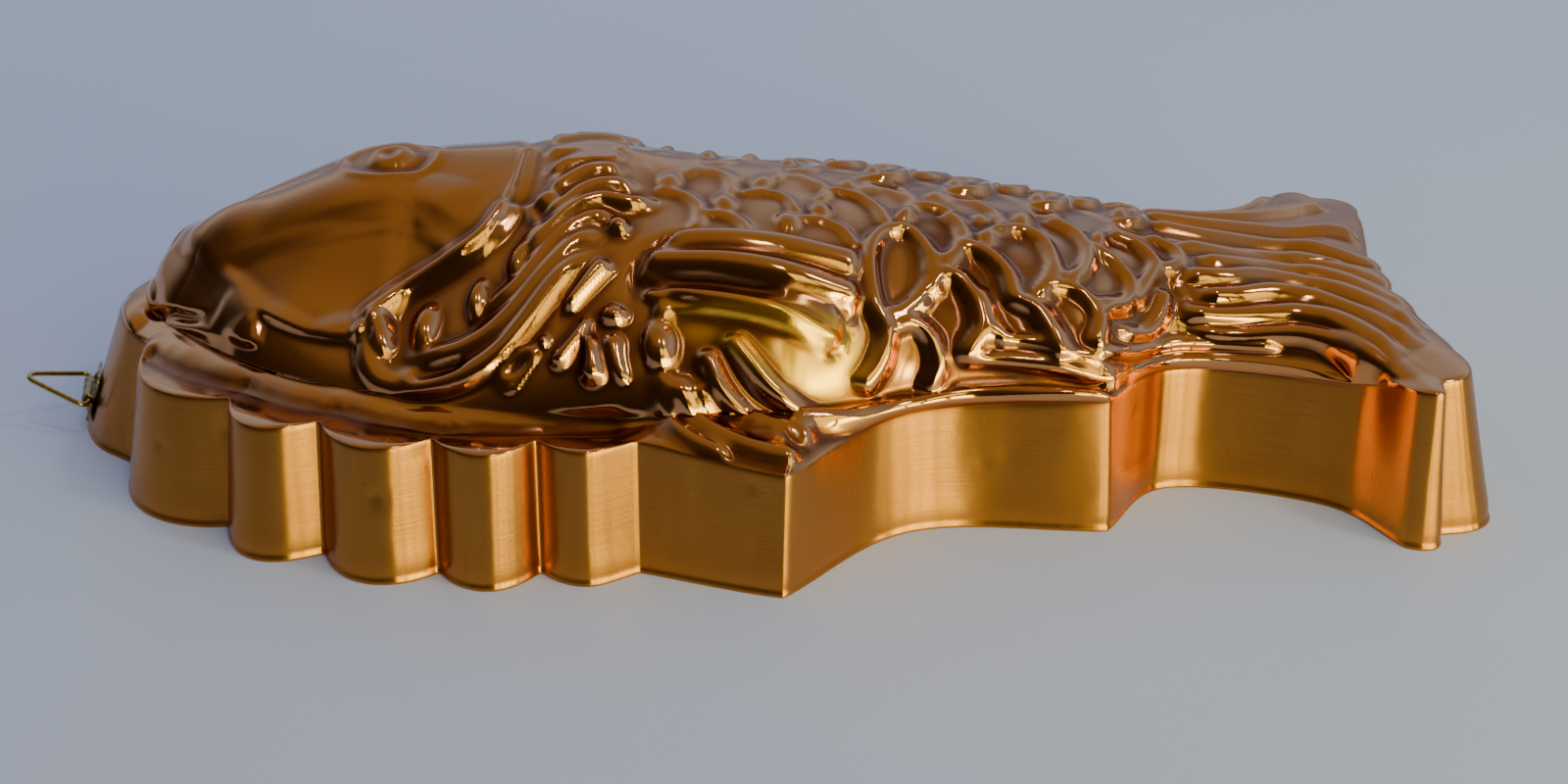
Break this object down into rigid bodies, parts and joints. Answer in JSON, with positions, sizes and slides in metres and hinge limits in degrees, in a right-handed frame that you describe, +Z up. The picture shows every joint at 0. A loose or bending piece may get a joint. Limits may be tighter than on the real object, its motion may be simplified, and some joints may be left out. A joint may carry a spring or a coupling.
{
  "type": "fish mould pan",
  "caption": "Fish-shaped sheet copper baking mould with scalloped wall, raised scales, fins and tail, and a hinged brass ring on the nose to hang it by.",
  "frame": {"origin": "in the plane of the open rim, at the middle of the object's overall length and width, with the mould standing on its rim", "axes": "+X from the nose towards the tail, +Y towards the fish's back, +Z up from the rim to the crown"},
  "size_m": [0.4176, 0.2024, 0.0865],
  "materials": {
    "copper_sheet": "polished lacquered copper outside, dull tin inside",
    "brass_strap": "aged brass",
    "brass_rivets": "aged brass",
    "brass_wire": "drawn brass wire"
  },
  "bodies": {
    "mould": {"pan_shell": "copper_sheet", "hanger_strap": "brass_strap", "hanger_rivets": "brass_rivets"},
    "ring": {"hanging_ring": "brass_wire"}
  },
  "joints": [
    {"name": "ring_hinge", "type": "hinge", "parent": "mould", "child": "ring", "pos_m": [-0.19203, 0.00041, 0.0107], "axis": [-0.2079, 0.9781, 0], "range_deg": [-54, 86]}
  ]
}
